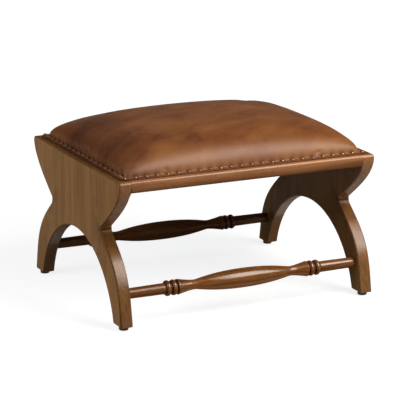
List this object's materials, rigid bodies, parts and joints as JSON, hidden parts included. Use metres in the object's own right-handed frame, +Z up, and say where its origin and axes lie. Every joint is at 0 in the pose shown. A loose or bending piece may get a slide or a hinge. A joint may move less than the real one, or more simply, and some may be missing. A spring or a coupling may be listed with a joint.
{
  "type": "upholstered footstool",
  "caption": "Low rectangular footstool with shaped, arched wooden end panels, turned stretchers and a crowned leather seat edged with domed nails.",
  "frame": {"origin": "on the floor under the middle of the stool, level with the undersides of the glides", "axes": "+Z up, +X along the seat from the left end panel to the right one, +Y from front to back"},
  "size_m": [0.61, 0.5, 0.3988],
  "materials": {
    "walnut": "walnut-stained hardwood under a satin lacquer, rubbed darker in the corners",
    "hardwood": "unfinished pale hardwood",
    "plywood": "unfinished plywood",
    "leather": "hand-rubbed chestnut leather with a soft wax sheen",
    "foam": "open-cell upholstery foam",
    "nail": "antiqued brass",
    "screw": "zinc-plated steel",
    "glide": "dark brown moulded plastic",
    "dust_cloth": "black non-woven cloth"
  },
  "bodies": {
    "root": {"left_end_panel": "walnut", "right_end_panel": "walnut", "front_rail": "walnut", "back_rail": "walnut", "front_stretcher": "walnut", "back_stretcher": "walnut", "front_left_inner_dowel": "hardwood", "front_left_outer_dowel": "hardwood", "front_right_inner_dowel": "hardwood", "front_right_outer_dowel": "hardwood", "back_left_inner_dowel": "hardwood", "back_left_outer_dowel": "hardwood", "back_right_inner_dowel": "hardwood", "back_right_outer_dowel": "hardwood", "front_left_glide": "glide", "front_right_glide": "glide", "back_left_glide": "glide", "back_right_glide": "glide", "front_left_corner_block": "hardwood", "front_left_rail_screw": "screw", "front_left_panel_screw": "screw", "front_left_deck_screw": "screw", "front_right_corner_block": "hardwood", "front_right_rail_screw": "screw", "front_right_panel_screw": "screw", "front_right_deck_screw": "screw", "back_left_corner_block": "hardwood", "back_left_rail_screw": "screw", "back_left_panel_screw": "screw", "back_left_deck_screw": "screw", "back_right_corner_block": "hardwood", "back_right_rail_screw": "screw", "back_right_panel_screw": "screw", "back_right_deck_screw": "screw", "seat_deck": "plywood", "front_cleat": "hardwood", "back_cleat": "hardwood", "leather_cover": "leather", "foam_pad": "foam", "front_nail_row": "nail", "back_nail_row": "nail", "left_nail_row": "nail", "right_nail_row": "nail", "dust_cover": "dust_cloth"}
  },
  "joints": []
}
